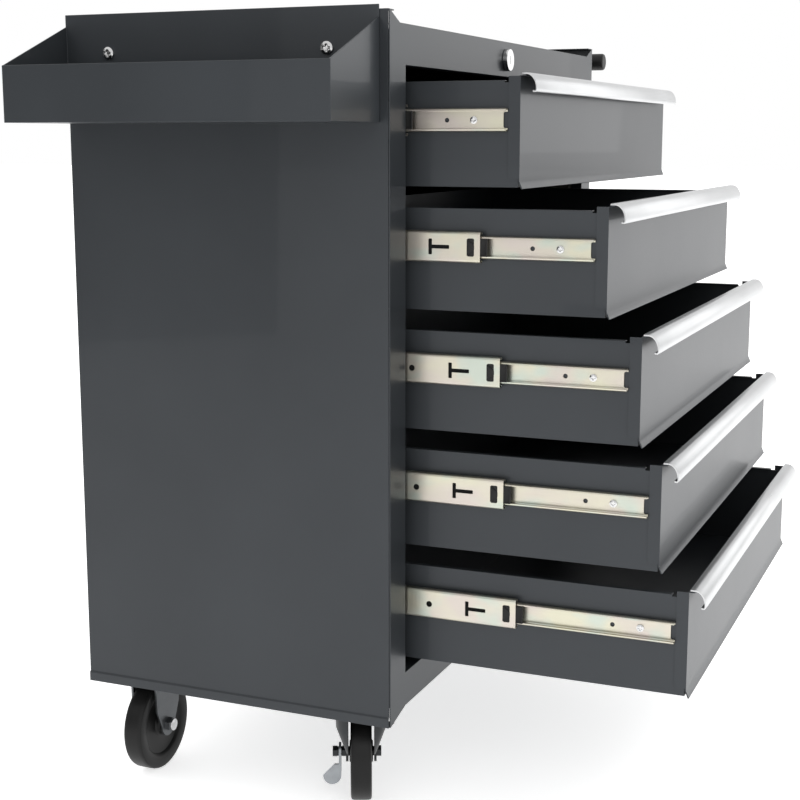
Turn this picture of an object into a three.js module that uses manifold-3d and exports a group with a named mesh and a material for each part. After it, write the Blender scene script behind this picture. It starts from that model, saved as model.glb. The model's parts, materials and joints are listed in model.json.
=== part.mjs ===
// Rolling tool chest with five ball-bearing drawers, a side tray and a push handle.
// Millimetres. X runs left to right, Y front to rear, Z up from the floor.
import * as THREE from 'three';
import { mergeVertices } from 'three/addons/utils/BufferGeometryUtils.js';
import Module from 'manifold-3d';

const wasm = await Module();
wasm.setup();

// driving dimensions: the cabinet
const cabinetWidth = 688;
const cabinetDepth = 350;
const cabinetHeight = 690;
const skirtZ = 110; // lower edge of the side panels above the floor
const sheet = 1.2;
const gap = 0.3; // between pieces that touch
const hem = 14; // folded edges of the panels
const panelTop = skirtZ + cabinetHeight;

// front frame
const postWidth = 38.5;
const postFoot = 39;
const postHead = 25;
const apronLift = 10;
const railDrop = 11;
const openingBottom = skirtZ + 45;
const openingTop = skirtZ + 641;
const returnDepth = 14;

// drawers
const drawerCount = 5;
const drawerPitch = 118;
const drawerHeight = 98;
const topDrawerZ = skirtZ + 528.4; // underside of the top drawer
const drawerOpenings = [109, 195, 229, 251, 280];
const boxDepth = 316;
const boxSheet = 1;
const frontLipHeight = 5; // front panel above the box sides
const frontReturn = 11.5;

// ball-bearing slides, 35 mm series
const slideThickness = 12.7;
const outerHeight = 35;
const middleHeight = 28.5;
const innerHeight = 20.5;
const slideSheet = 1.1;
const slideY = 4;
const slideLength = 300;
const slideRise = 62; // centre line above the drawer's underside
const middleLength = 240;
const middleFronts = [2, -74, -95, -100, -114]; // where each carriage's front end stands
const innerY = 12;
const innerLength = 292;
const uprightYs = [18, 290];
const uprightDepth = 32;
const uprightSheet = 1.5;

// pulls
const pullForward = 16;
const pullDrop = 15;
const pullSheet = 1.5;
const hemForward = 5;

// side tray
const trayOut = 106;
const trayFrontY = 10;
const trayBottomZ = skirtZ + 588;
const trayRimZ = skirtZ + 641;
const trayEndZ = skirtZ + 683;
const trayBackZ = skirtZ + 694;

// top pan, base pan
const topPanZ = skirtZ + 671;
const basePanZ = skirtZ + 20;
const basePanWall = 18;

// casters
const wheelRadius = 50;
const wheelWidth = 22;
const axleRadius = 5;
const rearCasterInset = 53;
const frontCasterInset = 45;
const rearCasterY = 303;
const frontCasterY = 52;
const plateX = 58;
const plateY = 68;
const plateSheet = 2.5;
const forkSheet = 2.5;
const forkGap = 27;
const swivelTrail = 24;
const swivelTurn = THREE.MathUtils.degToRad(24);
const racewayRadius = 27;
const legHalf = 25; // rigid bracket leg, half its width
const legTip = 13;
const legTaperLift = 20; // the taper starts this far above the axle
const nutRadius = 8;
const smallNutRadius = 6;
const nutLength = 5;
const shoulderWaist = [26, 30]; // radius and drop where the fork's shoulders start to narrow
const shoulderFoot = [15.5, 59];
const pedalWidth = 19;
const pedalDrop = 33;

// push handle
const handleReach = 45;
const handleTube = 11;
const handleFrontY = -5;
const handleRearY = 350;
const handleZ = skirtZ + 675;
const handleArm = 16; // width of each standoff arm
const handleArmInset = 42;

// lock
const lockX = 330;
const lockZ = skirtZ + 659;
const lockFaceRadius = 12;
const lockBarrelRadius = 9;
const rodRadius = 3;
const crankRadius = 8;
const lockBarY = 338;

// finishes
const finishes = {
  powderCoat: { color: 0x3f4043, roughness: 0.45, metalness: 0.2 },
  trayCoat: { color: 0x4b4c50, roughness: 0.45, metalness: 0.2 },
  zinc: { color: 0xc9c8bf, roughness: 0.3, metalness: 0.9 },
  aluminium: { color: 0xd9dadc, roughness: 0.25, metalness: 0.95 },
  chrome: { color: 0xe4e4e4, roughness: 0.12, metalness: 1 },
  blackRubber: { color: 0x1a1a1b, roughness: 0.6, metalness: 0 },
  blackTube: { color: 0x222223, roughness: 0.5, metalness: 0.1 },
};
const materials = {};
for (const [name, values] of Object.entries(finishes)) {
  materials[name] = new THREE.MeshStandardMaterial({ name, ...values });
}

const chest = new THREE.Group();

// solids
function solidOf(geometry) {
  const bare = new THREE.BufferGeometry();
  bare.setAttribute('position', geometry.getAttribute('position').clone());
  if (geometry.index) bare.setIndex(geometry.index.clone());
  const merged = mergeVertices(bare, 1e-4);
  return new wasm.Manifold(new wasm.Mesh({
    numProp: 3,
    vertProperties: new Float32Array(merged.getAttribute('position').array),
    triVerts: new Uint32Array(merged.index.array),
  }));
}

function geometryOf(solid) {
  const mesh = solid.getMesh();
  const geometry = new THREE.BufferGeometry();
  geometry.setAttribute('position', new THREE.BufferAttribute(new Float32Array(mesh.vertProperties), 3));
  geometry.setIndex(new THREE.BufferAttribute(new Uint32Array(mesh.triVerts), 1));
  geometry.computeVertexNormals();
  return geometry;
}

function block(x0, x1, y0, y1, z0, z1) {
  const geometry = new THREE.BoxGeometry(x1 - x0, y1 - y0, z1 - z0);
  geometry.translate((x0 + x1) / 2, (y0 + y1) / 2, (z0 + z1) / 2);
  return solidOf(geometry);
}

// a prism of an outline, pushed along one axis: 'x' outlines are [y, z], 'y' [x, z], 'z' [x, y]
function prism(axis, outline, from, to, holes = []) {
  const shape = new THREE.Shape(outline.map(([u, v]) => new THREE.Vector2(u, v)));
  for (const hole of holes) shape.holes.push(new THREE.Path(hole.map(([u, v]) => new THREE.Vector2(u, v))));
  const geometry = new THREE.ExtrudeGeometry(shape, { depth: to - from, bevelEnabled: false, curveSegments: 12 });
  geometry.translate(0, 0, from);
  const turn = new THREE.Matrix4();
  if (axis === 'x') turn.set(0, 0, 1, 0, 1, 0, 0, 0, 0, 1, 0, 0, 0, 0, 0, 1);
  if (axis === 'y') {
    geometry.translate(0, 0, -from - to);
    turn.set(1, 0, 0, 0, 0, 0, -1, 0, 0, 1, 0, 0, 0, 0, 0, 1);
  }
  geometry.applyMatrix4(turn);
  return solidOf(geometry);
}

// a round bar along one axis, centred on the other two
function rod(axis, radius, from, to, a, b, segments = 24) {
  const geometry = new THREE.CylinderGeometry(radius, radius, to - from, segments);
  geometry.translate(0, (from + to) / 2, 0);
  if (axis === 'x') {
    geometry.rotateZ(-Math.PI / 2);
    geometry.translate(0, a, b);
  } else if (axis === 'y') {
    geometry.translate(a, 0, b);
  } else {
    geometry.rotateX(Math.PI / 2);
    geometry.translate(a, b, 0);
  }
  return solidOf(geometry);
}

const join = (...solids) => wasm.Manifold.union(solids.flat());
const arc = (cx, cy, radius, from, to, steps) => Array.from({ length: steps + 1 }, (_, i) => {
  const angle = THREE.MathUtils.degToRad(from + ((to - from) * i) / steps);
  return [cx + radius * Math.cos(angle), cy + radius * Math.sin(angle)];
});

function addPiece(name, solid, finish, parent = chest) {
  const mesh = new THREE.Mesh(geometryOf(solid), materials[finish]);
  mesh.name = name;
  parent.add(mesh);
  return mesh;
}

// the same outline thickened to one side: a bent strip
function strip(points, thickness) {
  const back = [];
  points.forEach(([u, v], i) => {
    const [u0, v0] = points[Math.max(i - 1, 0)];
    const [u1, v1] = points[Math.min(i + 1, points.length - 1)];
    const length = Math.hypot(u1 - u0, v1 - v0);
    back.unshift([u - ((v1 - v0) / length) * thickness, v + ((u1 - u0) / length) * thickness]);
  });
  return [...points, ...back];
}

// cabinet
function sidePanel() {
  const y0 = sheet + gap;
  return join(
    block(0, sheet, y0, cabinetDepth, skirtZ, panelTop),
    block(0, hem, y0, cabinetDepth, skirtZ, skirtZ + sheet),
    block(0, hem, y0, cabinetDepth, panelTop - sheet, panelTop),
  );
}
const mirrored = (solid) => solid.mirror([1, 0, 0]).translate([cabinetWidth, 0, 0]);

function frontFrame() {
  const right = cabinetWidth;
  const outline = [
    [0, skirtZ], [postFoot, skirtZ + apronLift], [right - postFoot, skirtZ + apronLift], [right, skirtZ],
    [right, panelTop], [right - postHead, panelTop - railDrop], [postHead, panelTop - railDrop], [0, panelTop],
  ];
  const x0 = postWidth;
  const x1 = right - postWidth;
  const opening = [[x0, openingBottom], [x0, openingTop], [x1, openingTop], [x1, openingBottom]];
  const face = prism('y', outline, 0, sheet, [opening]);
  const railTop = panelTop - railDrop;
  const returns = [
    block(x0 - sheet, x0, 0, returnDepth, openingBottom - sheet, openingTop + sheet),
    block(x1, x1 + sheet, 0, returnDepth, openingBottom - sheet, openingTop + sheet),
    block(x0 - sheet, x1 + sheet, 0, returnDepth, openingTop, openingTop + sheet),
    block(x0 - sheet, x1 + sheet, 0, returnDepth, openingBottom - sheet, openingBottom),
    block(postHead, right - postHead, 0, returnDepth, railTop - sheet, railTop),
  ];
  return join(face, returns).subtract(rod('y', lockBarrelRadius + gap, -1, sheet + 1, lockX, lockZ));
}

function topPan() {
  const x0 = sheet + gap;
  const x1 = cabinetWidth - x0;
  const y0 = sheet + gap;
  const y1 = cabinetDepth - sheet - gap;
  return block(x0, x1, y0, y1, topPanZ, topPanZ + sheet);
}

function basePan() {
  const x0 = sheet + gap;
  const x1 = cabinetWidth - x0;
  const y0 = sheet + gap;
  const y1 = cabinetDepth - sheet - gap;
  const wallTop = basePanZ + basePanWall;
  const cavity = [x0 + sheet, x1 - sheet, y0 + sheet, y1 - sheet];
  return block(x0, x1, y0, y1, basePanZ, wallTop).subtract(block(...cavity, basePanZ + sheet, wallTop + 1));
}

addPiece('left_side_panel', sidePanel(), 'powderCoat');
addPiece('right_side_panel', mirrored(sidePanel()), 'powderCoat');
addPiece('front_frame', frontFrame(), 'powderCoat');
addPiece('top_pan', topPan(), 'powderCoat');
addPiece('base_pan', basePan(), 'powderCoat');
const panelGap = sheet + gap;
const backSheet = [panelGap, cabinetWidth - panelGap, cabinetDepth - sheet, cabinetDepth];
addPiece('back_panel', block(...backSheet, skirtZ + hem, panelTop - sheet - gap), 'powderCoat');

// side tray
function sideTray() {
  const x1 = -gap;
  const x0 = -trayOut;
  const endOutline = [
    [x0, trayBottomZ], [x1, trayBottomZ], [x1, trayEndZ], [x0 + sheet, trayRimZ], [x0, trayRimZ],
  ];
  return join(
    block(x0, x1, trayFrontY, cabinetDepth, trayBottomZ, trayBottomZ + sheet),
    block(x0, x0 + sheet, trayFrontY, cabinetDepth, trayBottomZ, trayRimZ),
    block(x0, x0 + 5, trayFrontY, cabinetDepth, trayRimZ - sheet, trayRimZ),
    block(x1 - sheet, x1, trayFrontY, cabinetDepth, trayBottomZ, trayBackZ),
    prism('y', endOutline, trayFrontY, trayFrontY + sheet),
    prism('y', endOutline, cabinetDepth - sheet, cabinetDepth),
  );
}
addPiece('side_tray', sideTray(), 'trayCoat');

// push handle: a straight tube with domed ends, welded to two standoff arms on the right side
function pushHandle() {
  const x0 = cabinetWidth + gap;
  const tubeX = cabinetWidth + handleReach;
  const dome = 3;
  const length = handleRearY - handleFrontY;
  const outline = [
    [0, 0], [handleTube - dome, 0], [handleTube - 0.9, 0.9], [handleTube, dome],
    [handleTube, length - dome], [handleTube - 0.9, length - 0.9], [handleTube - dome, length], [0, length],
  ].map(([r, y]) => new THREE.Vector2(r, y));
  const tube = new THREE.LatheGeometry(outline, 24);
  tube.translate(tubeX, handleFrontY, handleZ);
  const footHalf = 13;
  const arms = [handleFrontY + handleArmInset, handleRearY - handleArmInset].flatMap((y) => [
    block(x0, tubeX, y - handleArm / 2, y + handleArm / 2, handleZ - 8, handleZ + 8),
    block(x0, x0 + 3, y - handleArm, y + handleArm, handleZ - footHalf, handleZ + footHalf),
  ]);
  return join(solidOf(tube), arms);
}
addPiece('push_handle', pushHandle(), 'blackTube');

// slide racks: two uprights and the five cabinet-side slide members welded to them
const slideCentreZ = (index) => topDrawerZ + slideRise - drawerPitch * index;

// a C channel along Y: its web at one side, its lips reaching across
function channel(x0, x1, y0, y1, centre, height, webAtStart) {
  const half = height / 2;
  const web = webAtStart ? [x0, x0 + slideSheet] : [x1 - slideSheet, x1];
  return [
    block(...web, y0, y1, centre - half, centre + half),
    block(x0, x1, y0, y1, centre + half - slideSheet, centre + half),
    block(x0, x1, y0, y1, centre - half, centre - half + slideSheet),
  ];
}

function slideRack() {
  const face = postWidth - gap;
  const wall = sheet + gap;
  const z0 = basePanZ + 2 * sheet;
  const z1 = topPanZ - gap;
  const inner = wall + sheet + gap;
  const uprights = uprightYs.flatMap((y) => [
    block(face - uprightSheet, face, y, y + uprightDepth, z0, z1),
    block(inner, face, y, y + uprightSheet, z0, z1),
    block(inner, face, y + uprightDepth - uprightSheet, y + uprightDepth, z0, z1),
  ]);
  const members = Array.from({ length: drawerCount }, (_, i) => channel(
    face, postWidth + slideThickness - 1.5, slideY + 11, slideY + slideLength, slideCentreZ(i), outerHeight, true));
  return join(uprights, members.flat());
}
addPiece('left_slide_rack', slideRack(), 'zinc');
addPiece('right_slide_rack', mirrored(slideRack()), 'zinc');

// drawers, built closed and placed open
const boxX = postWidth + slideThickness + gap + 0.2;
const frontX = boxX - 1.2;
const boxZ = (index) => topDrawerZ - drawerPitch * index;

function drawerBox(z) {
  const x1 = cabinetWidth - boxX;
  const y0 = sheet + gap;
  const top = z + drawerHeight;
  const flange = 7;
  const notchY = 16;
  const notchDrop = 2;
  const cavity = [boxX + boxSheet, x1 - boxSheet, y0 - 1, boxDepth - boxSheet];
  const tub = block(boxX, x1, y0, boxDepth, z, top)
    .subtract(block(...cavity, z + boxSheet, top - boxSheet))
    .subtract(block(boxX + flange, x1 - flange, y0 - 1, boxDepth - boxSheet, z + boxSheet + 1, top + 1));
  return tub.subtract(block(boxX - 1, x1 + 1, y0 - 1, notchY, top - notchDrop, top + 1));
}

function drawerFront(z) {
  const top = z + drawerHeight + frontLipHeight;
  const lipY = -3;
  const lipRise = 6;
  const profile = strip([
    [-hemForward, top - sheet], [0, top - sheet], [0, z + lipRise], [lipY, z - 1],
  ].reverse(), -sheet);
  const x1 = cabinetWidth - frontX;
  const low = z + lipRise + 2;
  return join(
    prism('x', profile, frontX, x1),
    block(frontX, frontX + 0.9, 0, frontReturn, low, top - sheet),
    block(x1 - 0.9, x1, 0, frontReturn, low, top - sheet),
  );
}

// an aluminium pull: a curved lip with a hook over the front's folded edge and one at its free edge
function drawerPull(z) {
  const top = z + drawerHeight + frontLipHeight + gap;
  const start = -1;
  const curve = arc(0, 0, 1, 90, 180, 8).map(([u, v]) => [
    -hemForward - gap + (pullForward - hemForward - gap) * u, top + pullSheet + pullDrop * (v - 1)]);
  const tip = curve[curve.length - 1];
  const outer = [[start, top + pullSheet], ...curve, [tip[0] + 0.2, tip[1] - 2], [tip[0] + 3, tip[1] - 3]];
  return prism('x', strip(outer, pullSheet), frontX, cabinetWidth - frontX);
}

const middleX = [postWidth + 3.2, postWidth + 10.2];
const innerX = [postWidth + 6.2, postWidth + slideThickness];

function sidePair(name, index, group, solid) {
  addPiece(`drawer_${index + 1}_left_${name}`, solid, 'zinc', group);
  addPiece(`drawer_${index + 1}_right_${name}`, mirrored(solid), 'zinc', group);
}

for (let i = 0; i < drawerCount; i++) {
  const drawer = new THREE.Group();
  drawer.position.y = -drawerOpenings[i];
  const z = boxZ(i);
  addPiece(`drawer_${i + 1}_box`, drawerBox(z), 'powderCoat', drawer);
  addPiece(`drawer_${i + 1}_front`, drawerFront(z), 'powderCoat', drawer);
  addPiece(`drawer_${i + 1}_pull`, drawerPull(z), 'aluminium', drawer);
  const inner = join(channel(...innerX, innerY, innerY + innerLength, slideCentreZ(i), innerHeight, false));
  sidePair('inner_slide', i, drawer, inner);
  chest.add(drawer);

  const middle = new THREE.Group();
  middle.position.y = middleFronts[i];
  const carrier = join(channel(...middleX, 0, middleLength, slideCentreZ(i), middleHeight, true));
  sidePair('middle_slide', i, middle, carrier);
  chest.add(middle);
}

// casters, built about their own axis at the origin
const axleZ = wheelRadius;
const plateZ = basePanZ - gap;
const legInner = forkGap / 2;
const legOuter = legInner + forkSheet;

function wheel() {
  const half = wheelWidth / 2;
  const hub = legInner - 1.2;
  const bore = axleRadius + 0.1;
  const profile = [
    [bore, -hub], [11, -hub], [12, -hub + 3], [30, -half + 4], [36, -half + 1], [wheelRadius - 2.5, -half],
    [wheelRadius - 0.7, -half + 1.2], [wheelRadius, -half + 3],
    [wheelRadius, half - 3], [wheelRadius - 0.7, half - 1.2], [wheelRadius - 2.5, half], [36, half - 1],
    [30, half - 4], [12, hub - 3], [11, hub], [bore, hub], [bore, -hub],
  ].map(([r, y]) => new THREE.Vector2(r, y));
  const geometry = new THREE.LatheGeometry(profile, 32);
  return solidOf(geometry);
}

// one leg of a fork in the wheel's plane, wide at the top and round about the axle
function forkLeg(topFrom, topTo, topZ, axleX, tip, taper = []) {
  const outline = [[topFrom, topZ], ...taper.map(([x, z]) => [-x, z]), ...arc(axleX, axleZ, tip, 180, 360, 10), ...taper, [topTo, topZ]];
  return [
    prism('y', outline, legInner, legOuter),
    prism('y', outline, -legOuter, -legInner),
  ];
}

function rigidFork() {
  return join(
    block(-plateX / 2, plateX / 2, -plateY / 2, plateY / 2, plateZ - plateSheet, plateZ),
    forkLeg(-legHalf, legHalf, plateZ - 1, 0, legTip, [[legHalf - 3, axleZ + legTaperLift]]),
    rod('y', axleRadius, -legOuter - 2, legOuter + 2, 0, axleZ),
    rod('y', nutRadius, -legOuter - nutLength, -legOuter, 0, axleZ, 6),
    rod('y', nutRadius, legOuter, legOuter + nutLength, 0, axleZ, 6),
  );
}

const racewayTop = plateZ - plateSheet;
const racewayDepth = 7;
const forkTopZ = racewayTop - racewayDepth - gap;

function swivelPlate() {
  return join(
    block(-plateX / 2, plateX / 2, -plateY / 2, plateY / 2, racewayTop, plateZ),
    rod('z', racewayRadius - 3, racewayTop - racewayDepth, racewayTop + 1, 0, 0, 32),
  );
}

function swivelFork() {
  const crownZ = forkTopZ - forkSheet;
  const shoulderTop = crownZ + 0.5;
  const shoulder = new THREE.LatheGeometry([
    [0, -shoulderFoot[1]], [shoulderFoot[0], -shoulderFoot[1]], [shoulderWaist[0], -shoulderWaist[1]], [racewayRadius, 0], [0, 0],
  ].map(([r, z]) => new THREE.Vector2(r, z)), 32);
  shoulder.rotateX(Math.PI / 2);
  shoulder.translate(0, 0, shoulderTop);
  const wheelRoom = block(-racewayRadius, racewayRadius, -legInner, legInner, shoulderTop - shoulderFoot[1] - 1, crownZ - 2);
  return join(
    solidOf(shoulder).subtract(wheelRoom),
    rod('z', racewayRadius, forkTopZ - forkSheet, forkTopZ, 0, 0, 32),
    rod('z', 9, forkTopZ - 4.5, forkTopZ - 1, 0, 0, 6),
    forkLeg(-20, 21, forkTopZ - 1, swivelTrail, 11),
    rod('y', axleRadius, -legOuter - 2, legOuter + 12, swivelTrail, axleZ),
    rod('y', smallNutRadius, -legOuter - nutLength, -legOuter, swivelTrail, axleZ, 6),
    rod('y', smallNutRadius, legOuter, legOuter + 4, swivelTrail, axleZ, 6),
    rod('y', smallNutRadius, legOuter + 9, legOuter + 14, swivelTrail, axleZ, 6),
  );
}

// the brake lever hangs from the axle's outer end and spreads into a rounded pedal
function brakeLever() {
  const y0 = legOuter + 5;
  const armHalf = 9;
  const armZ = axleZ - 24;
  const arm = [[-armHalf, armZ], ...arc(0, axleZ, armHalf + 0.5, 180, 0, 8), [armHalf, armZ]];
  const plate = prism('y', arm.map(([x, z]) => [x + swivelTrail, z]), y0, y0 + 2.5);
  const pedalRadius = pedalWidth / 2;
  const pedalY = y0 + pedalRadius;
  const pedalOutline = [
    [y0, axleZ - armHalf - 2], ...arc(pedalY, axleZ - pedalDrop + pedalRadius, pedalRadius, 180, 360, 10), [y0 + 7, axleZ - armHalf - 2],
  ];
  const pedal = prism('x', pedalOutline, swivelTrail - armHalf, swivelTrail - armHalf + 2.5);
  return join(plate, pedal).subtract(rod('y', axleRadius + 0.4, y0 - 1, y0 + 4, swivelTrail, axleZ));
}

function placeCaster(x, y, turn, pieces) {
  const group = new THREE.Group();
  group.position.set(x, y, 0);
  group.rotation.z = turn;
  for (const [name, solid, finish] of pieces) addPiece(name, solid, finish, group);
  chest.add(group);
}

for (const side of ['left', 'right']) {
  const fromSide = (inset) => (side === 'left' ? inset : cabinetWidth - inset);
  const x = fromSide(frontCasterInset);
  const rearWheel = wheel().translate([0, 0, axleZ]);
  placeCaster(fromSide(rearCasterInset), rearCasterY, 0, [
    [`rear_${side}_caster_bracket`, rigidFork(), 'zinc'],
    [`rear_${side}_caster_wheel`, rearWheel, 'blackRubber'],
  ]);
  placeCaster(x, frontCasterY, 0, [[`front_${side}_caster_plate`, swivelPlate(), 'zinc']]);
  placeCaster(x, frontCasterY, swivelTurn, [
    [`front_${side}_caster_fork`, swivelFork(), 'zinc'],
    [`front_${side}_caster_wheel`, wheel().translate([swivelTrail, 0, axleZ]), 'blackRubber'],
    [`front_${side}_caster_brake`, brakeLever(), 'zinc'],
  ]);
}

// lock: the cylinder turns a long rod whose crank lifts the bar behind the drawers
function lockCylinder() {
  const keyway = block(lockX - 0.8, lockX + 0.8, -8, -3, lockZ - 4, lockZ + 4);
  return join(
    rod('y', lockFaceRadius, -6, -gap, lockX, lockZ, 32),
    rod('y', lockBarrelRadius, -2, 26, lockX, lockZ),
  ).subtract(keyway);
}

const crank = crankRadius * Math.SQRT1_2;
function lockRod() {
  const y0 = 26 + gap;
  const arm = [lockX, lockX + crank].sort((a, b) => a - b);
  return join(
    rod('y', rodRadius, y0, lockBarY - 4, lockX, lockZ, 12),
    block(arm[0] - 3, arm[1] + 3, lockBarY - 5, lockBarY - 3, lockZ - 3, lockZ + crank + 3),
    rod('y', 2, lockBarY - 4, lockBarY + 4, lockX + crank, lockZ + crank, 12),
  );
}

// the bar's fingers sit above the drawers' back walls and drop in front of them when locked
function lockBar() {
  const x0 = lockX - 16;
  const x1 = lockX + 16;
  const top = lockZ + crank + 4.6;
  const bottom = boxZ(drawerCount - 1) + drawerHeight + 5;
  const plate = block(x0, x1, lockBarY, lockBarY + 2, bottom, top);
  const slotSize = [lockX - 12, lockX + 12, lockBarY - 1, lockBarY + 3];
  const slot = block(...slotSize, lockZ + crank - 2.5, lockZ + crank + 2.5);
  const fingers = Array.from({ length: drawerCount }, (_, i) => {
    const wall = boxZ(i) + drawerHeight;
    const tipY = boxDepth - 6;
    return [
      block(lockX - 8, lockX + 8, tipY, lockBarY + 1, wall + 14, wall + 16),
      block(lockX - 8, lockX + 8, tipY, tipY + 2, wall + 5, wall + 16),
    ];
  });
  return join(plate, fingers.flat()).subtract(slot);
}

addPiece('lock_cylinder', lockCylinder(), 'chrome');
addPiece('lock_rod', lockRod(), 'zinc');
addPiece('lock_bar', lockBar(), 'zinc');

// the assembly stands on its base, centred on its outer box
const tool = new THREE.Group();
tool.add(chest);
chest.updateMatrixWorld(true);
const outer = new THREE.Box3().setFromObject(chest, true);
const centre = outer.getCenter(new THREE.Vector3());
chest.position.set(-centre.x, -centre.y, -outer.min.z);

export default tool;
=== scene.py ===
# Rolling tool chest: finishes, slide hardware, pulls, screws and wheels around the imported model.
import json
import math

import bpy
from mathutils import Matrix, Vector


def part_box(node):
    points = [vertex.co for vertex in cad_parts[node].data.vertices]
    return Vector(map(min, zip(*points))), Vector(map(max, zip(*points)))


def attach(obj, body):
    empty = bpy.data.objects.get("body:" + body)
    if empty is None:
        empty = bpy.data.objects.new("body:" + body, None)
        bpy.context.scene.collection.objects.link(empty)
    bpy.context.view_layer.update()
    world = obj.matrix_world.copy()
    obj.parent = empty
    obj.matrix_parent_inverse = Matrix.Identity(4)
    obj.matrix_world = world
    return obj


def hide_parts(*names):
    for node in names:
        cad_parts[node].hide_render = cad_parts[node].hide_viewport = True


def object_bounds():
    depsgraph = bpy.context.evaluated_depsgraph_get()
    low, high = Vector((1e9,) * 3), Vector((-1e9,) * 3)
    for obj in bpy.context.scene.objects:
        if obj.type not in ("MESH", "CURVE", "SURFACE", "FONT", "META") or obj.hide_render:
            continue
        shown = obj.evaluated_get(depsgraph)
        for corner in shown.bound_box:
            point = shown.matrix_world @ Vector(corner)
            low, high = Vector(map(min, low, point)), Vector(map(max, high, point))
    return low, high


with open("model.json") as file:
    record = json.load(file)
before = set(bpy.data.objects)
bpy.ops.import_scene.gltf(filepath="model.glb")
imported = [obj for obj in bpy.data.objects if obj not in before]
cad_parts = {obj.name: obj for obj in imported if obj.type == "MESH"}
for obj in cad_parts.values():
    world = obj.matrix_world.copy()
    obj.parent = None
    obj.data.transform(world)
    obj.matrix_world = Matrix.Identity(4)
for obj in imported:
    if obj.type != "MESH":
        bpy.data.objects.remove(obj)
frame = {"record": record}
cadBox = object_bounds()
mm = 0.001
print("frame loaded")


# shader maths
class Value:
    def __init__(self, graph, socket):
        self.graph = graph
        self.socket = socket

    def math(self, operation, *others):
        return self.graph.node("ShaderNodeMath", {"operation": operation}, [self, *others])[0]

    def __add__(self, other):
        return self.math("ADD", other)

    def __mul__(self, other):
        return self.math("MULTIPLY", other)

    __radd__ = __add__
    __rmul__ = __mul__

    def ramp(self, low, high):
        settings = {"clamp": True}
        inputs = {"Value": self, "From Min": low, "From Max": high}
        return self.graph.node("ShaderNodeMapRange", settings, inputs)[0]


class Graph:
    def __init__(self, name):
        self.material = bpy.data.materials.new(name)
        self.material.use_nodes = True
        self.tree = self.material.node_tree
        self.shader = self.tree.nodes["Principled BSDF"]
        self.place = self.node("ShaderNodeTexCoord")["Object"]

    # settings are set first, then each input gets a number or a link
    def node(self, kind, settings=None, inputs=None):
        made = self.tree.nodes.new(kind)
        for key, value in (settings or {}).items():
            setattr(made, key, value)
        pairs = enumerate(inputs) if isinstance(inputs, list) else (inputs or {}).items()
        for key, value in pairs:
            self.feed(made.inputs[key], value)
        outputs = [s for s in made.outputs if s.enabled]
        found = {s.name: Value(self, s) for s in outputs}
        found.update({i: Value(self, s) for i, s in enumerate(outputs)})
        return found

    def feed(self, socket, value):
        if isinstance(value, Value):
            self.tree.links.new(value.socket, socket)
        else:
            socket.default_value = value

    def set(self, **values):
        for key, value in values.items():
            self.feed(self.shader.inputs[key.replace("_", " ")], value)

    # noise over the piece, in metres; stretch makes it run along an axis
    def noise(self, size, detail=2.0, stretch=(1, 1, 1)):
        scaled = self.node("ShaderNodeMapping", {}, {"Vector": self.place, "Scale": stretch})[0]
        settings = {"Vector": scaled, "Scale": 1 / size, "Detail": detail}
        return self.node("ShaderNodeTexNoise", {}, settings)[0]

    def mix(self, factor, first, second):
        made = self.tree.nodes.new("ShaderNodeMix")
        made.data_type = "RGBA"
        self.feed(made.inputs[0], factor)
        self.feed(made.inputs[6], first)
        self.feed(made.inputs[7], second)
        return Value(self, made.outputs[2])

    def bump(self, height, distance, strength=1.0):
        inputs = {"Height": height, "Distance": distance, "Strength": strength}
        self.set(Normal=self.node("ShaderNodeBump", {}, inputs)[0])


def grey(level, warm=0.0):
    return (level * (1 + warm), level, level * (1 - warm), 1)


# finishes
powder = {
    "level": 0.022, "cool": -0.12, "roughness": 0.34, "grainSize": 0.9 * mm, "grainDepth": 0.035 * mm,
    "cloudSize": 160 * mm,
}


def powderCoat(name, lift=1.0):
    g = Graph(name)
    cloud = g.noise(powder["cloudSize"], 3.0)
    grain = g.noise(powder["grainSize"], 2.0)
    fleck = g.noise(powder["grainSize"] * 0.6, 0.0).ramp(0.62, 0.75)
    level = powder["level"] * lift
    dark = grey(level * 0.9, powder["cool"])
    light = grey(level * 1.14, powder["cool"])
    base = g.mix(cloud.ramp(0.3, 0.7), dark, light)
    g.set(Base_Color=g.mix(fleck * 0.25, base, grey(level * 1.9)))
    g.set(Roughness=powder["roughness"] + 0.08 * cloud + 0.05 * grain)
    g.set(Coat_Weight=0.08 + 0.06 * cloud, Specular_IOR_Level=0.42, Specular_Tint=(0.9, 0.94, 1.0, 1))
    g.bump(grain, powder["grainDepth"], 0.55)
    return g.material


zinc = {
    "straw": (0.58, 0.55, 0.38, 1), "rose": (0.56, 0.48, 0.42, 1), "green": (0.46, 0.53, 0.44, 1),
    "tintSize": 34 * mm, "streakSize": 1.1 * mm,
}


def zincPlate(name, tint=1.0, axis=1):
    g = Graph(name)
    stretch = [1, 1, 1]
    stretch[axis] = 0.04
    streak = g.noise(zinc["streakSize"], 2.0, stretch)
    first = g.noise(zinc["tintSize"], 2.0, (1, 0.6, 1)).ramp(0.35, 0.65)
    second = g.noise(zinc["tintSize"] * 0.6, 1.0, (1, 0.7, 1)).ramp(0.5, 0.72)
    tinted = g.mix(second * tint, g.mix(first * tint, zinc["straw"], zinc["rose"]), zinc["green"])
    plain = (0.56, 0.56, 0.54, 1)
    g.set(Base_Color=g.mix(0.35 + 0.3 * tint, plain, tinted), Metallic=1.0)
    g.set(Roughness=0.24 + 0.16 * streak + 0.05 * first)
    g.bump(streak, 0.03 * mm, 0.5)
    return g.material


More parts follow.
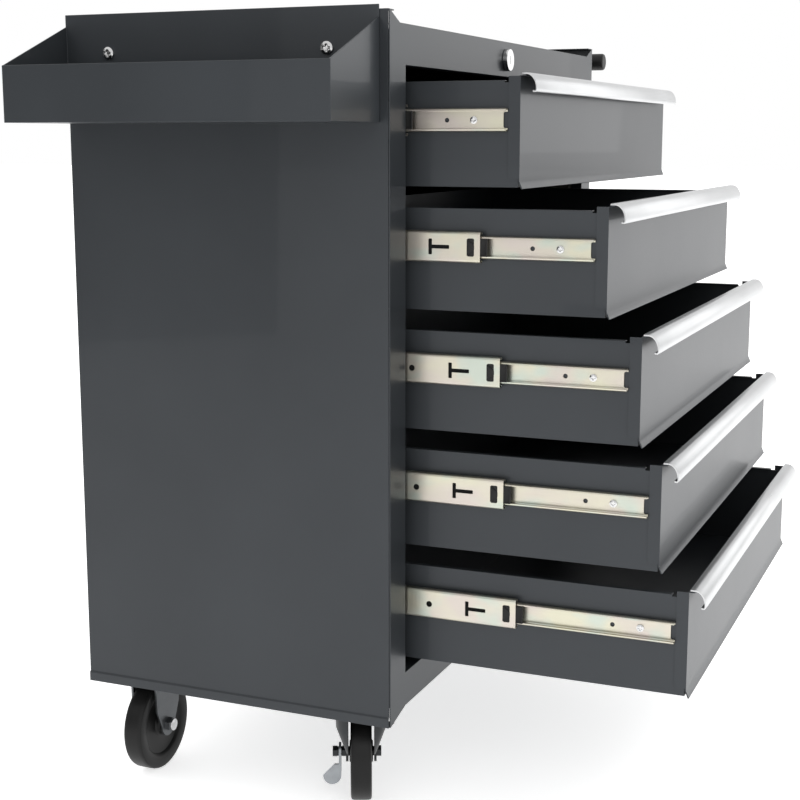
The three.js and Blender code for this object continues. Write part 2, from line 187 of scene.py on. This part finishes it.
def darkSteel(name, low, high):
    g = Graph(name)
    cloud = g.noise(18 * mm, 3.0)
    fine = g.noise(0.7 * mm, 2.0)
    g.set(Base_Color=g.mix(cloud, grey(low, -0.05), grey(high, -0.05)), Metallic=0.85)
    g.set(Roughness=0.28 + 0.12 * cloud + 0.06 * fine)
    g.bump(fine, 0.02 * mm, 0.5)
    return g.material


def brightAluminium(name):
    g = Graph(name)
    streak = g.noise(0.8 * mm, 2.0, (0.015, 1, 1))
    cloud = g.noise(60 * mm, 2.0)
    g.set(Base_Color=g.mix(cloud, grey(0.50, -0.01), grey(0.62, -0.01)), Metallic=1.0)
    g.set(Roughness=0.22 + 0.14 * streak + 0.05 * cloud)
    g.bump(streak, 0.02 * mm, 0.5)
    return g.material


def polishedChrome(name):
    g = Graph(name)
    scratch = g.noise(0.5 * mm, 2.0, (1, 1, 0.2))
    g.set(Base_Color=g.mix(scratch, grey(0.52), grey(0.66)), Metallic=1.0)
    g.set(Roughness=0.08 + 0.12 * scratch)
    return g.material


def mouldedBlack(name, level, roughness, grain):
    g = Graph(name)
    cloud = g.noise(22 * mm, 3.0)
    fine = g.noise(grain, 2.0)
    g.set(Base_Color=g.mix(cloud, grey(level * 0.8), grey(level * 1.3)), Specular_IOR_Level=0.22)
    g.set(Roughness=roughness + 0.14 * fine)
    g.bump(fine, 0.05 * mm, 0.6)
    return g.material


coat = powderCoat("darkPowderCoat")
trayCoat = powderCoat("trayPowderCoat", 1.22)
slideZinc = zincPlate("zincSlide", 1.0, 1)
rackZinc = zincPlate("zincRack", 0.6, 2)
# the rear caster brackets are zinc plate; this dark steel colour is painted shade from under the cabinet
shadedBracketZinc = darkSteel("bracketZincPaintedShade", 0.09, 0.15)
forkSteel = darkSteel("forkSteel", 0.025, 0.05)
brakeSteel = darkSteel("brakeSteel", 0.22, 0.42)
pullMetal = brightAluminium("brightAluminium")
chrome = polishedChrome("polishedChrome")
wheelBlack = mouldedBlack("wheelBlack", 0.007, 0.36, 0.5 * mm)
plasticBlack = mouldedBlack("plasticBlack", 0.012, 0.45, 0.3 * mm)
handleBlack = mouldedBlack("handleBlack", 0.012, 0.4, 0.4 * mm)
# near-black for the plate behind the slide slots: painted shade
shadowBlack = mouldedBlack("holeBlack", 0.004, 0.8, 0.4 * mm)
print("finishes made")


# modelling helpers
def deselect():
    if bpy.context.mode != "OBJECT":
        bpy.ops.object.mode_set(mode="OBJECT")
    bpy.ops.object.select_all(action="DESELECT")


def activate(obj):
    deselect()
    obj.select_set(True)
    bpy.context.view_layer.objects.active = obj


def named(name):
    obj = bpy.context.object
    obj.name = name
    return obj


def edit(obj, element="VERT"):
    activate(obj)
    bpy.ops.object.mode_set(mode="EDIT")
    bpy.ops.mesh.select_mode(type=element)
    bpy.ops.mesh.select_all(action="DESELECT")
    bpy.ops.object.mode_set(mode="OBJECT")


# faces whose centre and normal pass a test are selected, and edit mode is entered
def pickFaces(obj, test):
    edit(obj, "FACE")
    for face in obj.data.polygons:
        face.select = test(face.center, face.normal)
    bpy.ops.object.mode_set(mode="EDIT")


def pickEdges(obj, test):
    edit(obj, "EDGE")
    points = [v.co for v in obj.data.vertices]
    for edge in obj.data.edges:
        edge.select = test(points[edge.vertices[0]], points[edge.vertices[1]])
    bpy.ops.object.mode_set(mode="EDIT")


def endEdit():
    bpy.ops.object.mode_set(mode="OBJECT")


def modify(obj, kind, **settings):
    activate(obj)
    made = obj.modifiers.new(kind.lower(), kind)
    for key, value in settings.items():
        setattr(made, key, value)
    bpy.ops.object.modifier_apply(modifier=made.name)


def settle(obj):
    activate(obj)
    bpy.ops.object.transform_apply(location=True, rotation=True, scale=True)


def smooth(obj, degrees):
    activate(obj)
    bpy.ops.object.shade_smooth_by_angle(angle=math.radians(degrees))


# smoothed, with the flat faces kept flat
def smoothFlat(obj):
    smooth(obj, 40)
    modify(obj, "WEIGHTED_NORMAL", keep_sharp=True, weight=80)


def outward(obj):
    activate(obj)
    bpy.ops.object.mode_set(mode="EDIT")
    bpy.ops.mesh.select_all(action="SELECT")
    bpy.ops.mesh.remove_doubles(threshold=0.00001)
    bpy.ops.mesh.normals_make_consistent(inside=False)
    bpy.ops.object.mode_set(mode="OBJECT")


def discard(obj):
    bpy.data.objects.remove(obj, do_unlink=True)


def cut(obj, cutter):
    modify(obj, "BOOLEAN", operation="DIFFERENCE", object=cutter, solver="EXACT")
    discard(cutter)


def joined(parts, name):
    deselect()
    for part in parts:
        part.select_set(True)
    bpy.context.view_layer.objects.active = parts[0]
    bpy.ops.object.join()
    return named(name)


def paint(obj, material):
    obj.data.materials.clear()
    obj.data.materials.append(material)


# a copy with its own mesh, moved and, for the right side, mirrored across the chest
def copyTo(source, name, offset, mirrorAt=None):
    made = bpy.data.objects.new(name, source.data.copy())
    bpy.context.scene.collection.objects.link(made)
    made.data.transform(Matrix.Translation(Vector(offset)))
    if mirrorAt is not None:
        made.data.transform(Matrix.Translation((2 * mirrorAt, 0, 0)) @ Matrix.Scale(-1, 4, (1, 0, 0)))
        made.data.flip_normals()
    return made


def give(obj, body, slotName, *nodes):
    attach(obj, body)
    if nodes:
        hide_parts(*nodes)
    return obj


bodyOf = {node: body for body, nodes in frame["record"]["behaviour"]["bodies"].items() for node in nodes}
slotOf = {row["node"]: row["material_slot"] for row in frame["record"]["subparts"]}
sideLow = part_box("left_side_panel")[0]
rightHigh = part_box("right_side_panel")[1]
midX = (sideLow[0] + rightHigh[0]) / 2
drawerNumbers = range(1, 6)


# sheet metal: the same shape with folded, softened edges
sheetMetal = {"edge": 0.45 * mm, "segments": 2, "flat": 1.0}


def refined(node, material, edge=sheetMetal["edge"], shape=None):
    source = bpy.data.objects[node]
    made = bpy.data.objects.new(node + "_sheet", source.data.copy())
    bpy.context.scene.collection.objects.link(made)
    activate(made)
    bpy.ops.object.mode_set(mode="EDIT")
    bpy.ops.mesh.select_all(action="SELECT")
    bpy.ops.mesh.remove_doubles(threshold=0.00002)
    bpy.ops.mesh.dissolve_limited(angle_limit=math.radians(sheetMetal["flat"]))
    endEdit()
    if shape:
        shape(made)
    modify(made, "BEVEL", width=edge, segments=sheetMetal["segments"], limit_method="ANGLE",
           angle_limit=math.radians(30), use_clamp_overlap=True)
    smoothFlat(made)
    paint(made, material)
    return give(made, bodyOf[node], slotOf[node], node)


# a pressed crease along the foot of each side panel: everything under it stands a little proud
crease = {"height": 9.5 * mm, "width": 1.3 * mm, "step": -1.6 * mm, "skin": 2.2 * mm, "margin": 0.1 * mm}


def pressCrease(obj):
    foot = sideLow[2]
    for height in (crease["height"], crease["height"] + crease["width"]):
        edit(obj)
        bpy.ops.object.mode_set(mode="EDIT")
        bpy.ops.mesh.select_all(action="SELECT")
        bpy.ops.mesh.bisect(plane_co=(0, 0, foot + height), plane_no=(0, 0, 1))
        endEdit()
    activate(obj)
    leftSide = obj.data.vertices[0].co.x < midX
    shift = crease["step"] if leftSide else -crease["step"]
    across = [v.co.x for v in obj.data.vertices]
    outerX = min(across) if leftSide else max(across)
    edit(obj)
    for v in obj.data.vertices:
        near = abs(v.co.x - outerX) < crease["skin"]
        v.select = near and v.co.z < foot + crease["height"] + crease["margin"]
    bpy.ops.object.mode_set(mode="EDIT")
    bpy.ops.transform.translate(value=(shift, 0, 0))
    endEdit()


for node in ("front_frame", "top_pan", "base_pan", "back_panel"):
    refined(node, coat)
for node in ("left_side_panel", "right_side_panel"):
    refined(node, coat, shape=pressCrease)
refined("side_tray", trayCoat)
for number in drawerNumbers:
    refined(f"drawer_{number}_box", coat)
    refined(f"drawer_{number}_front", coat, 0.4 * mm)
print("sheet metal softened")


# slide hardware
slide = {
    "sheet": 1.1 * mm, "round": 2.4 * mm, "hookDepth": 1.6 * mm, "webSetback": 4 * mm,
    "screwFromEnd": 33 * mm, "holeFromEnd": 60 * mm, "rearScrew": 210 * mm, "holeRadius": 2.2 * mm,
    "slotFromEnd": 31 * mm, "slotLength": 19 * mm, "slotHeight": 3.6 * mm, "stemHeight": 15 * mm,
    "stemBefore": 1.5 * mm, "stemAfter": 2 * mm,
    "tabFromEnd": 6 * mm, "tabLength": 7 * mm, "tabHeight": 17 * mm,
    "midHoleFromEnd": 90 * mm, "midHoleRadius": 3 * mm, "screwRadius": 3.6 * mm, "screwProud": 1.1 * mm,
    "raceGap": 0.15 * mm, "webGap": 0.4 * mm, "edge": 0.2 * mm, "cutDepth": 4 * mm, "setbackCut": 5 * mm,
}


def cutterBox(x, y0, y1, z0, z1, depth):
    deselect()
    bpy.ops.mesh.primitive_cube_add(size=1, location=(x, (y0 + y1) / 2, (z0 + z1) / 2))
    made = bpy.context.object
    made.scale = (depth, y1 - y0, z1 - z0)
    settle(made)
    modify(made, "BEVEL", width=min(y1 - y0, z1 - z0) * 0.2, segments=3)
    return made


def cutterRound(x, y, z, radius, depth=12 * mm):
    deselect()
    bpy.ops.mesh.primitive_cylinder_add(vertices=24, radius=radius, depth=depth, location=(x, y, z),
                                        rotation=(0, math.pi / 2, 0))
    made = bpy.context.object
    settle(made)
    return made


# a channel along Y: a plane for the web, its long edges drawn out into rounded, hooked ball races
def slideChannel(name, low, high, toward, setback=0.0):
    webX = high[0] - slide["sheet"] / 2 if toward < 0 else low[0] + slide["sheet"] / 2
    reach = (high[0] - low[0]) - slide["sheet"] / 2 - slide["raceGap"]
    height = high[2] - low[2]
    length = high[1] - low[1]
    midY, midZ = (low[1] + high[1]) / 2, (low[2] + high[2]) / 2
    deselect()
    bpy.ops.mesh.primitive_plane_add(size=1, location=(webX, midY, midZ), rotation=(0, math.pi / 2, 0))
    made = named(name)
    made.scale = (height - 2 * slide["round"], length, 1)
    settle(made)
    for side in (-1, 1):
        edgeZ = midZ + side * (height / 2 - slide["round"])
        pickEdges(made, lambda a, b: abs(a.z - edgeZ) < 1e-5 and abs(b.z - edgeZ) < 1e-5)
        spin = 1 if toward < 0 else -1
        centre = (webX + toward * slide["round"], midY, edgeZ)
        bpy.ops.mesh.spin(steps=5, angle=spin * side * math.pi / 2, center=centre, axis=(0, 1, 0))
        flatRun = reach - slide["round"] - slide["hookDepth"]
        bpy.ops.mesh.extrude_region_move(TRANSFORM_OT_translate={"value": (toward * flatRun, 0, 0)})
        hook = (toward * slide["hookDepth"] * 0.7, 0, -side * slide["hookDepth"] * 0.5)
        bpy.ops.mesh.extrude_region_move(TRANSFORM_OT_translate={"value": hook})
        hook = (toward * slide["hookDepth"] * 0.1, 0, -side * slide["hookDepth"] * 0.7)
        bpy.ops.mesh.extrude_region_move(TRANSFORM_OT_translate={"value": hook})
        endEdit()
    outward(made)
    modify(made, "SOLIDIFY", thickness=slide["sheet"], offset=0, use_even_offset=True)
    outward(made)
    if setback:
        y = low[1]
        half = height / 2 - slide["round"] - slide["webGap"]
        ends = (y - slide["cutDepth"], y + setback)
        cut(made, cutterBox(webX, *ends, midZ - half, midZ + half, slide["setbackCut"]))
    return made


# a domed screw or bolt head facing -X, with a cross recess when asked; its shares are of radius and height
headShape = {
    "sides": 32, "rim": 0.16, "shoulder": 0.22, "dome": 0.35, "edge": 0.07,
    "crossWidth": 0.2, "crossSpan": 0.62, "crossDepth": 1.1,
}


def head(name, x, y, z, radius, proud, cross=True):
    deselect()
    bpy.ops.mesh.primitive_cylinder_add(vertices=headShape["sides"], radius=radius, depth=proud,
                                        rotation=(0, math.pi / 2, 0), location=(x - proud / 2, y, z))
    made = named(name)
    settle(made)
    pickFaces(made, lambda c, n: n.x < -0.9)
    bpy.ops.mesh.inset(thickness=radius * headShape["rim"])
    bpy.ops.mesh.inset(thickness=radius * headShape["shoulder"])
    bpy.ops.transform.translate(value=(-proud * headShape["dome"], 0, 0))
    endEdit()
    if cross:
        width, span = radius * headShape["crossWidth"], radius * headShape["crossSpan"]
        deep = proud * headShape["crossDepth"]
        for a, b in ((width, span), (span, width)):
            deselect()
            bpy.ops.mesh.primitive_cube_add(size=1, location=(x - proud, y, z))
            bar = bpy.context.object
            bar.scale = (deep, 2 * a, 2 * b)
            settle(bar)
            cut(made, bar)
    modify(made, "BEVEL", width=radius * headShape["edge"], segments=2, limit_method="ANGLE",
           angle_limit=math.radians(40))
    smooth(made, 35)
    paint(made, chrome)
    return made


def innerSlides():
    low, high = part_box("drawer_1_left_inner_slide")
    web = high[0] - slide["sheet"] / 2
    z = (low[2] + high[2]) / 2
    made = slideChannel("innerSlidePattern", low, high, -1, slide["webSetback"])
    for step in (slide["holeFromEnd"], slide["holeFromEnd"] + slide["rearScrew"]):
        cut(made, cutterRound(web, low[1] + step, z, slide["holeRadius"]))
    modify(made, "BEVEL", width=slide["edge"], segments=2, limit_method="ANGLE", angle_limit=math.radians(50))
    smoothFlat(made)
    paint(made, slideZinc)
    screws = []
    for i, step in enumerate((slide["screwFromEnd"], slide["screwFromEnd"] + slide["rearScrew"])):
        place = (web - slide["sheet"] / 2, low[1] + step, z)
        screws.append(head(f"innerScrew{i}", *place, slide["screwRadius"], slide["screwProud"]))
    screw = joined(screws, "innerScrewPattern")
    for number in drawerNumbers:
        body = f"drawer_{number}"
        shift = Vector(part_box(f"drawer_{number}_left_inner_slide")[0]) - Vector(low)
        for side, mirrorAt in (("left", None), ("right", midX)):
            node = f"drawer_{number}_{side}_inner_slide"
            give(copyTo(made, node + "_rail", shift, mirrorAt), body, slotOf[node], node)
            give(copyTo(screw, node + "_screws", shift, mirrorAt), body, "chrome")
    discard(made)
    discard(screw)


def plasticBlock(name, place, size):
    deselect()
    bpy.ops.mesh.primitive_cube_add(size=1, location=place)
    made = named(name)
    made.scale = size
    settle(made)
    return made


# the release lever shows through its window, pointed at one end
lever = {
    "out": 1.0 * mm, "thick": 1.8 * mm, "pastLength": 5 * mm, "pastHeight": 3 * mm,
    "rim": 2.2 * mm, "proud": 0.9 * mm, "point": 0.25, "edge": 0.25 * mm,
}


def releaseLever(web, y, z):
    place = (web + lever["out"], y, z)
    length = slide["tabLength"] + lever["pastLength"]
    height = slide["tabHeight"] + lever["pastHeight"]
    made = plasticBlock("slideLeverPattern", place, (lever["thick"], length, height))
    pickFaces(made, lambda c, n: n.x < -0.9)
    bpy.ops.mesh.inset(thickness=lever["rim"])
    bpy.ops.mesh.extrude_region_move(TRANSFORM_OT_translate={"value": (-lever["proud"], 0, 0)})
    endEdit()
    pickFaces(made, lambda c, n: n.y < -0.9 and c.x < web)
    bpy.ops.transform.resize(value=(1, 1, lever["point"]), center_override=place)
    endEdit()
    modify(made, "BEVEL", width=lever["edge"], segments=2)
    smooth(made, 40)
    paint(made, plasticBlack)
    return made


# a near-black plate backs the slots: painted shade for the dark inside of the slide seen through them
slotShade = {
    "fromEnd": 27 * mm, "length": 72 * mm, "height": 16 * mm, "out": 1.4 * mm, "thick": 0.8 * mm,
    "edge": 0.15 * mm,
}


def slotShadePlate(web, front, z):
    place = (web + slotShade["out"], front + slotShade["fromEnd"] + slotShade["length"] / 2, z)
    made = plasticBlock("slideSlotShadePattern", place, (slotShade["thick"], slotShade["length"], slotShade["height"]))
    modify(made, "BEVEL", width=slotShade["edge"], segments=2)
    smooth(made, 40)
    paint(made, shadowBlack)
    return made


# the front stop: a moulded block with a shallow hollow, closing the middle member's end
stop = {
    "length": 7 * mm, "height": 17 * mm, "overlap": 2 * mm, "out": 1.0 * mm, "thick": 2.4 * mm,
    "rim": 1.4 * mm, "hollow": 0.8 * mm, "edge": 0.4 * mm,
}


def frontStop(web, front, z):
    place = (web + stop["out"], front - (stop["length"] - stop["overlap"]) / 2, z)
    size = (stop["thick"], stop["length"] + stop["overlap"], stop["height"])
    made = plasticBlock("slideStopPattern", place, size)
    pickFaces(made, lambda c, n: n.x < -0.9)
    bpy.ops.mesh.inset(thickness=stop["rim"])
    bpy.ops.mesh.extrude_region_move(TRANSFORM_OT_translate={"value": (stop["hollow"], 0, 0)})
    endEdit()
    modify(made, "BEVEL", width=stop["edge"], segments=2)
    smooth(made, 40)
    paint(made, plasticBlack)
    return made


def middleSlides():
    low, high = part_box("drawer_1_left_middle_slide")
    web = low[0] + slide["sheet"] / 2
    z = (low[2] + high[2]) / 2
    front = low[1]
    deep = slide["cutDepth"]
    made = slideChannel("middleSlidePattern", low, high, 1)
    a = front + slide["slotFromEnd"]
    b = a + slide["slotLength"]
    thin, tall = slide["slotHeight"] / 2, slide["stemHeight"] / 2
    cut(made, cutterBox(web, a, b, z - thin, z + thin, deep))
    cut(made, cutterBox(web, b - slide["stemBefore"], b + slide["stemAfter"], z - tall, z + tall, deep))
    t0 = front + slide["tabFromEnd"]
    t1 = t0 + slide["tabLength"]
    half = slide["tabHeight"] / 2
    cut(made, cutterBox(web, t0, t1, z - half, z + half, deep))
    cut(made, cutterRound(web, front + slide["midHoleFromEnd"], z, slide["midHoleRadius"], deep))
    modify(made, "BEVEL", width=slide["edge"], segments=2, limit_method="ANGLE", angle_limit=math.radians(50))
    smoothFlat(made)
    paint(made, slideZinc)
    parts = [releaseLever(web, (t0 + t1) / 2, z), slotShadePlate(web, front, z), frontStop(web, front, z)]
    plastic = joined(parts, "slidePlasticPattern")
    for number in drawerNumbers:
        body = f"drawer_{number}_carriages"
        shift = Vector(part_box(f"drawer_{number}_left_middle_slide")[0]) - Vector(low)
        for side, mirrorAt in (("left", None), ("right", midX)):
            node = f"drawer_{number}_{side}_middle_slide"
            give(copyTo(made, node + "_rail", shift, mirrorAt), body, slotOf[node], node)
            give(copyTo(plastic, node + "_plastic", shift, mirrorAt), body, "black_rubber")
    discard(made)
    discard(plastic)


innerSlides()
middleSlides()
for side in ("left", "right"):
    refined(f"{side}_slide_rack", rackZinc, 0.25 * mm)
print("slides built")


# pulls: a curved extrusion, hooked along its free edge; the hook's steps run rearward and up
pull = {
    "wall": 1.5 * mm, "steps": 18, "edge": 0.25 * mm, "backRun": 4.3 * mm, "hookRise": 3.2 * mm,
    "hook": ((0.3 * mm, -1.5 * mm), (1.0 * mm, -0.9 * mm), (1.6 * mm, 0.1 * mm), (0.3 * mm, 1.0 * mm)),
}


def drawerPulls():
    low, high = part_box("drawer_1_pull")
    x0, x1 = low[0], high[0]
    width = x1 - x0
    half = pull["wall"] / 2
    top = high[2] - half
    backY = high[1]
    bendY = backY - pull["backRun"]
    frontY = low[1] + half
    bottom = low[2] + pull["hookRise"]
    deselect()
    bpy.ops.mesh.primitive_plane_add(size=1, location=((x0 + x1) / 2, (backY + bendY) / 2, top))
    made = named("pullPattern")
    made.scale = (width, backY - bendY, 1)
    settle(made)
    # the curve is a quarter turn, then stretched to its real depth
    drop = top - bottom
    pickEdges(made, lambda a, b: abs(a.y - bendY) < 1e-5 and abs(b.y - bendY) < 1e-5)
    bpy.ops.mesh.spin(steps=pull["steps"], angle=-math.pi / 2, center=(0, bendY, top - drop), axis=(1, 0, 0))
    endEdit()
    if min(v.co.y for v in made.data.vertices) > bendY - 1 * mm:
        raise RuntimeError("the pull's curve turned the wrong way")
    edit(made)
    for v in made.data.vertices:
        v.select = v.co.y < bendY - 1e-5
    bpy.ops.object.mode_set(mode="EDIT")
    squeeze = (bendY - frontY) / drop
    bpy.ops.transform.resize(value=(1, squeeze, 1), center_override=(0, bendY, top))
    endEdit()
    pickEdges(made, lambda a, b: a.z < bottom + 1e-5 and b.z < bottom + 1e-5)
    for y, z in pull["hook"]:
        bpy.ops.mesh.extrude_region_move(TRANSFORM_OT_translate={"value": (0, y, z)})
    endEdit()
    outward(made)
    modify(made, "SOLIDIFY", thickness=pull["wall"], offset=0, use_even_offset=True)
    outward(made)
    modify(made, "BEVEL", width=pull["edge"], segments=2, limit_method="ANGLE", angle_limit=math.radians(50))
    smooth(made, 40)
    paint(made, pullMetal)
    for number in drawerNumbers:
        node = f"drawer_{number}_pull"
        shift = Vector(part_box(node)[0]) - Vector(low)
        give(copyTo(made, node + "_extrusion", shift), f"drawer_{number}", slotOf[node], node)
    discard(made)


drawerPulls()
print("pulls built")


# wheels: tyre, web and hub turned about the axle
wheelProfile = [
    (5.2, 12.3), (10.5, 12.3), (11.5, 11.6), (12.4, 9.2), (15, 7.4), (29, 6.6), (33.5, 7.2), (35.5, 9.4),
    (37.5, 10.4), (45.5, 10.95), (48, 10.6), (49.3, 9.6), (49.9, 7.8), (50, 6), (50, 0),
]


def turnedWheel():
    deselect()
    first = wheelProfile[0]
    bpy.ops.mesh.primitive_plane_add(size=1, location=(0, 0, 0))
    made = named("wheelPattern")
    bpy.ops.object.mode_set(mode="EDIT")
    bpy.ops.mesh.select_mode(type="VERT")
    bpy.ops.mesh.select_all(action="SELECT")
    bpy.ops.mesh.merge(type="CENTER")
    bpy.ops.transform.translate(value=(first[0] * mm, first[1] * mm, 0))
    outline = wheelProfile + [(r, -y) for r, y in reversed(wheelProfile[:-1])]
    for (r0, y0), (r1, y1) in zip(outline, outline[1:]):
        step = ((r1 - r0) * mm, (y1 - y0) * mm, 0)
        bpy.ops.mesh.extrude_region_move(TRANSFORM_OT_translate={"value": step})
    bpy.ops.mesh.extrude_region_move(TRANSFORM_OT_translate={"value": (0, 2 * first[1] * mm, 0)})
    bpy.ops.mesh.select_all(action="SELECT")
    bpy.ops.mesh.spin(steps=96, angle=2 * math.pi, center=(0, 0, 0), axis=(0, 1, 0))
    endEdit()
    outward(made)
    smooth(made, 28)
    paint(made, wheelBlack)
    return made


# the wheel pattern is turned about Z to its fork and moved to its axle
def placeWheels():
    made = turnedWheel()
    for joint in frame["record"]["behaviour"]["joints"]:
        if not joint["name"].endswith("wheel_spin"):
            continue
        body = joint["child"]
        node = frame["record"]["behaviour"]["bodies"][body][0]
        axle = Vector(joint["pos_m"])
        turn = math.atan2(-joint["axis"][0], joint["axis"][1])
        wheel = copyTo(made, node + "_turned", (0, 0, 0))
        wheel.data.transform(Matrix.Translation(axle) @ Matrix.Rotation(turn, 4, "Z"))
        give(wheel, body, slotOf[node], node)
    discard(made)


# a bright bolt head sits on each rigid bracket's axle nut
axleBolt = {"radius": 6.5 * mm, "proud": 2.2 * mm, "outFromAxle": 20.8 * mm}


def axleBolts():
    for joint in frame["record"]["behaviour"]["joints"]:
        name = joint["name"]
        if not (name.startswith("rear_") and name.endswith("wheel_spin")):
            continue
        x, y, z = joint["pos_m"]
        for end in (-1, 1):
            made = head(f"{name}_bolt{end + 1}", 0, 0, 0, axleBolt["radius"], axleBolt["proud"], False)
            made.data.transform(Matrix.Rotation(-end * math.pi / 2, 4, "Z"))
            made.data.transform(Matrix.Translation((x, y + end * axleBolt["outFromAxle"], z)))
            give(made, "cabinet", "zinc_plate")


placeWheels()
axleBolts()
# the rear brackets' dark colour is painted shade under the cabinet
for side in ("left", "right"):
    refined(f"rear_{side}_caster_bracket", shadedBracketZinc, 0.35 * mm)
    refined(f"front_{side}_caster_plate", forkSteel, 0.35 * mm)
    refined(f"front_{side}_caster_fork", forkSteel, 0.35 * mm)
    refined(f"front_{side}_caster_brake", brakeSteel, 0.35 * mm)
print("casters built")


# tray screws, push handle, lock
trayScrew = {
    "radius": 6.2 * mm, "proud": 2.4 * mm, "below": 38 * mm, "fromFront": 52 * mm, "fromRear": 50 * mm,
    "wall": 1.2 * mm,
}


def trayScrews():
    low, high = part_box("side_tray")
    faceX = high[0] - trayScrew["wall"]
    places = (low[1] + trayScrew["fromFront"], high[1] - trayScrew["fromRear"])
    for word, y in zip(("front", "rear"), places):
        z = high[2] - trayScrew["below"]
        made = head(f"tray_screw_{word}", faceX, y, z, trayScrew["radius"], trayScrew["proud"])
        give(made, "cabinet", "chrome")


# the push handle: softened edges, shaded smooth around its tube
def smoothHandle():
    made = refined("push_handle", handleBlack, 0.8 * mm)
    made.name = "push_handle_tube"
    smooth(made, 45)


trayScrews()
smoothHandle()
refined("lock_cylinder", chrome, 0.5 * mm)
for node in ("lock_rod", "lock_bar"):
    refined(node, rackZinc, 0.2 * mm)
print("fittings built")


# floor, lights, camera
studio = {
    "azimuth": -67.4, "elevation": 10.0, "lens": 67.0,
    "eye": (-1599.4 * mm, -570.1 * mm, 684.4 * mm),
    "floorSize": 60.0, "floorGlow": 0.62, "world": 1.0,
    "front": {"place": (3.6, -1.9, 1.5), "size": 1.8, "power": 9, "aim": (0, -0.2, 0.45)},
    "above": {"place": (0.3, -1.6, 3.2), "size": 2.0, "power": 16, "aim": (0, 0, 0.4)},
    "leftSide": {"place": (-3.0, -1.6, 2.2), "size": 1.6, "power": 12, "aim": (0, 0, 0.5)},
    "cards": ((-2.9, 2.6, 0.9), (-3.4, -0.2, -0.9)), "cardSize": 2.2,
}


def studioFloor():
    deselect()
    bpy.ops.mesh.primitive_plane_add(size=studio["floorSize"], location=(0, 0, cadBox[0][2] - 0.2 * mm))
    floor = named("studioFloor")
    g = Graph("paleFloor")
    cloud = g.noise(0.5, 2.0)
    g.set(Base_Color=g.mix(cloud, grey(0.94), grey(0.97)), Roughness=0.6 + 0.1 * cloud)
    g.set(Emission_Color=grey(1.0), Emission_Strength=studio["floorGlow"])
    paint(floor, g.material)


# dark cards stand out of the camera's sight, so bright metal has something dark to mirror
def darkCards():
    for i, place in enumerate(studio["cards"]):
        deselect()
        toward = Vector((0, 0, 0.5)) - Vector(place)
        bpy.ops.mesh.primitive_plane_add(size=studio["cardSize"], location=place,
                                         rotation=toward.to_track_quat("Z", "Y").to_euler())
        card = named(f"darkCard{i}")
        card.visible_camera = False
        g = Graph(f"darkCard{i}")
        g.set(Base_Color=grey(0.05), Roughness=0.9)
        paint(card, g.material)


def areaLight(name, settings):
    data = bpy.data.lights.new(name, "AREA")
    data.energy = settings["power"]
    data.size = settings["size"]
    lamp = bpy.data.objects.new(name, data)
    bpy.context.scene.collection.objects.link(lamp)
    lamp.location = settings["place"]
    toward = Vector(settings["aim"]) - Vector(settings["place"])
    lamp.rotation_euler = toward.to_track_quat("-Z", "Y").to_euler()


def studioWorld():
    world = bpy.data.worlds.new("paleStudio")
    world.use_nodes = True
    background = world.node_tree.nodes["Background"]
    background.inputs["Color"].default_value = (1, 1, 1, 1)
    background.inputs["Strength"].default_value = studio["world"]
    bpy.context.scene.world = world


def studioCamera():
    azimuth, elevation = math.radians(studio["azimuth"]), math.radians(studio["elevation"])
    look = Vector((-math.sin(azimuth) * math.cos(elevation), math.cos(azimuth) * math.cos(elevation),
                   -math.sin(elevation)))
    data = bpy.data.cameras.new("studioCamera")
    data.lens = studio["lens"]
    camera = bpy.data.objects.new("studioCamera", data)
    bpy.context.scene.collection.objects.link(camera)
    camera.location = studio["eye"]
    camera.rotation_euler = look.to_track_quat("-Z", "Y").to_euler()
    bpy.context.scene.camera = camera


studioFloor()
darkCards()
for lightName in ("front", "above", "leftSide"):
    areaLight(lightName + "Light", studio[lightName])
studioWorld()
studioCamera()
bpy.context.scene.view_settings.view_transform = "Standard"
print("studio ready")
